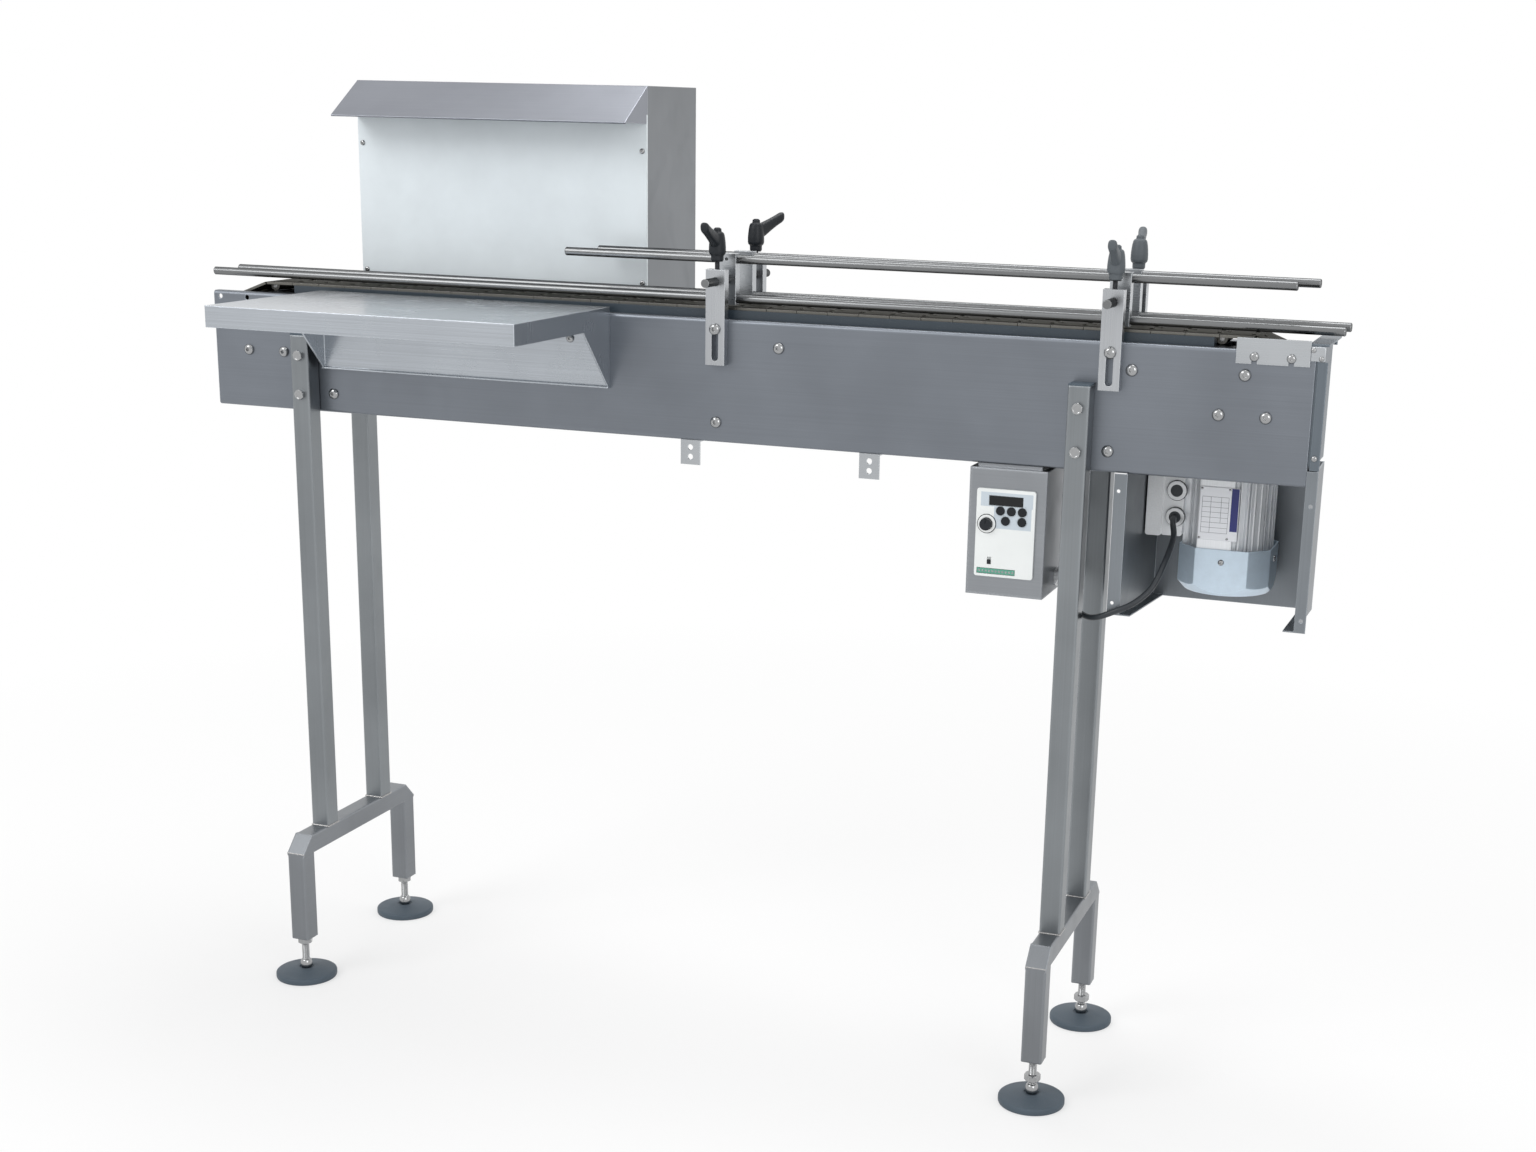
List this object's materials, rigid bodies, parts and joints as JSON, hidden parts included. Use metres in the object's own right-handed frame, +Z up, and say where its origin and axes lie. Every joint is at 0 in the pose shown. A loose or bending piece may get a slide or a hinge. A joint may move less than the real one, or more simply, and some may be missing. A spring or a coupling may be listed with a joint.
{
  "type": "inspection conveyor",
  "caption": "Slat chain conveyor on two levelling stands, with adjustable guide rails, a back-lit inspection screen, a side tray, a control box and a hanging motor drive.",
  "frame": {"origin": "on the floor under the middle of the part's box", "axes": "+X along the chain towards the drive end, +Y away from the operator's side with the tray, +Z up"},
  "size_m": [1.4398, 0.508, 1.161],
  "materials": {
    "stainless": "satin brushed stainless sheet",
    "bright_steel": "bright turned and polished stainless",
    "chain_steel": "worn bright stainless slats",
    "strip_plastic": "dark blue-grey low-friction plastic",
    "sprocket_plastic": "dark machined plastic",
    "cast_aluminium": "painted die casting",
    "zinc_sheet": "bluish zinc-coated sheet",
    "black_plastic": "fine-grained black plastic",
    "cable_rubber": "matt cable jacket",
    "foot_plastic": "dark slate moulded plastic",
    "screen_plastic": "white translucent sheet",
    "lamp_glass": "white coated tube",
    "controller_plastic": "off-white moulded housing",
    "key_plastic": "grey-blue moulded keys"
  },
  "bodies": {
    "frame_body": {"near_plate": "stainless", "far_plate": "stainless", "cross_spacers": "bright_steel", "frame_bolts": "bright_steel", "guide_strips": "strip_plastic", "chain_carry": "chain_steel", "chain_return": "chain_steel", "chain_drive_wrap": "chain_steel", "chain_tail_wrap": "chain_steel", "chain_pins": "bright_steel", "bearings": "cast_aluminium", "gearbox_housing": "cast_aluminium", "motor_body": "cast_aluminium", "terminal_box": "cast_aluminium", "cable_glands": "black_plastic", "motor_cable": "cable_rubber", "fan_cowl": "zinc_sheet", "motor_guard": "stainless", "end_cover": "bright_steel", "small_brackets": "bright_steel", "uprights": "stainless", "upright_caps": "foot_plastic", "stand_bases": "stainless", "stand_fasteners": "bright_steel", "tray": "bright_steel", "light_housing": "stainless", "light_visor": "stainless", "diffuser": "screen_plastic", "lamps": "lamp_glass", "light_bracket": "bright_steel", "control_box": "stainless", "inverter_face": "controller_plastic"},
    "drive_shaft_body": {"drive_shaft": "bright_steel", "drive_sprocket": "sprocket_plastic"},
    "tail_shaft_body": {"tail_shaft": "bright_steel", "tail_sprocket": "sprocket_plastic"},
    "rotor_body": {"motor_rotor": "bright_steel"},
    "near_post_body": {"near_posts": "bright_steel"},
    "far_post_body": {"far_posts": "bright_steel"},
    "near_rail_body": {"near_blocks": "bright_steel", "near_rails": "bright_steel"},
    "far_rail_body": {"far_blocks": "bright_steel", "far_rails": "bright_steel"},
    "near_left_lever_body": {"near_left_lever": "black_plastic"},
    "near_right_lever_body": {"near_right_lever": "black_plastic"},
    "far_left_lever_body": {"far_left_lever": "black_plastic"},
    "far_right_lever_body": {"far_right_lever": "black_plastic"},
    "foot_near_left_body": {"foot_near_left": "foot_plastic"},
    "foot_near_right_body": {"foot_near_right": "foot_plastic"},
    "foot_far_left_body": {"foot_far_left": "foot_plastic"},
    "foot_far_right_body": {"foot_far_right": "foot_plastic"},
    "speed_knob_body": {"speed_knob": "black_plastic"},
    "button_run_body": {"button_run": "key_plastic"},
    "button_up_body": {"button_up": "key_plastic"},
    "button_down_body": {"button_down": "key_plastic"},
    "button_mode_body": {"button_mode": "key_plastic"},
    "button_stop_body": {"button_stop": "key_plastic"},
    "slide_switch_body": {"slide_switch": "black_plastic"}
  },
  "joints": [
    {"name": "rotor_spin", "type": "hinge", "parent": "frame_body", "child": "rotor_body", "pos_m": [0.59389, 0.1345, 0.70607], "axis": [0, 0, 1], "continuous": true},
    {"name": "drive_shaft_spin", "type": "hinge", "parent": "frame_body", "child": "drive_shaft_body", "pos_m": [0.61889, 0.046, 0.84007], "axis": [0, 1, 0], "continuous": true},
    {"name": "tail_shaft_spin", "type": "hinge", "parent": "frame_body", "child": "tail_shaft_body", "pos_m": [-0.62889, 0.046, 0.84007], "axis": [0, 1, 0], "continuous": true},
    {"name": "near_posts_height", "type": "slide", "parent": "frame_body", "child": "near_post_body", "axis": [0, 0, 1], "range_m": [0, 0.033]},
    {"name": "near_rail_reach", "type": "slide", "parent": "near_post_body", "child": "near_rail_body", "axis": [0, 1, 0], "range_m": [-0.017, 0.01]},
    {"name": "near_left_lever_turn", "type": "hinge", "parent": "near_post_body", "child": "near_left_lever_body", "pos_m": [-0.00211, -0.0153, 0.9659], "axis": [0, 0, 1], "range_deg": [0, 180]},
    {"name": "near_right_lever_turn", "type": "hinge", "parent": "near_post_body", "child": "near_right_lever_body", "pos_m": [0.47089, -0.0153, 0.9659], "axis": [0, 0, 1], "range_deg": [0, 180]},
    {"name": "far_posts_height", "type": "slide", "parent": "frame_body", "child": "far_post_body", "axis": [0, 0, 1], "range_m": [0, 0.033]},
    {"name": "far_rail_reach", "type": "slide", "parent": "far_post_body", "child": "far_rail_body", "axis": [0, 1, 0], "range_m": [-0.01, 0.017]},
    {"name": "far_left_lever_turn", "type": "hinge", "parent": "far_post_body", "child": "far_left_lever_body", "pos_m": [-0.00211, 0.1073, 0.9659], "axis": [0, 0, 1], "range_deg": [0, 180]},
    {"name": "far_right_lever_turn", "type": "hinge", "parent": "far_post_body", "child": "far_right_lever_body", "pos_m": [0.47089, 0.1073, 0.9659], "axis": [0, 0, 1], "range_deg": [0, 180]},
    {"name": "foot_near_left_level", "type": "slide", "parent": "frame_body", "child": "foot_near_left_body", "axis": [0, 0, 1], "range_m": [-0.03, 0.02]},
    {"name": "foot_near_right_level", "type": "slide", "parent": "frame_body", "child": "foot_near_right_body", "axis": [0, 0, 1], "range_m": [-0.03, 0.018]},
    {"name": "foot_far_left_level", "type": "slide", "parent": "frame_body", "child": "foot_far_left_body", "axis": [0, 0, 1], "range_m": [-0.03, 0.02]},
    {"name": "foot_far_right_level", "type": "slide", "parent": "frame_body", "child": "foot_far_right_body", "axis": [0, 0, 1], "range_m": [-0.03, 0.018]},
    {"name": "speed_knob_turn", "type": "hinge", "parent": "frame_body", "child": "speed_knob_body", "pos_m": [0.33589, -0.012, 0.6824], "axis": [0, 1, 0], "range_deg": [0, 270]},
    {"name": "button_run_press", "type": "slide", "parent": "frame_body", "child": "button_run_body", "axis": [0, 1, 0], "range_m": [0, 0.0008], "stiffness_N_per_m": 900, "springref_m": -0.0004},
    {"name": "button_up_press", "type": "slide", "parent": "frame_body", "child": "button_up_body", "axis": [0, 1, 0], "range_m": [0, 0.0008], "stiffness_N_per_m": 900, "springref_m": -0.0004},
    {"name": "button_down_press", "type": "slide", "parent": "frame_body", "child": "button_down_body", "axis": [0, 1, 0], "range_m": [0, 0.0008], "stiffness_N_per_m": 900, "springref_m": -0.0004},
    {"name": "button_mode_press", "type": "slide", "parent": "frame_body", "child": "button_mode_body", "axis": [0, 1, 0], "range_m": [0, 0.0008], "stiffness_N_per_m": 900, "springref_m": -0.0004},
    {"name": "button_stop_press", "type": "slide", "parent": "frame_body", "child": "button_stop_body", "axis": [0, 1, 0], "range_m": [0, 0.0008], "stiffness_N_per_m": 900, "springref_m": -0.0004},
    {"name": "slide_switch_move", "type": "slide", "parent": "frame_body", "child": "slide_switch_body", "axis": [0, 0, 1], "range_m": [0, 0.0035]}
  ],
  "couplings": [
    {"joint": "drive_shaft_spin", "follows": "rotor_spin", "ratio": 0.05},
    {"joint": "tail_shaft_spin", "follows": "rotor_spin", "ratio": 0.05}
  ]
}
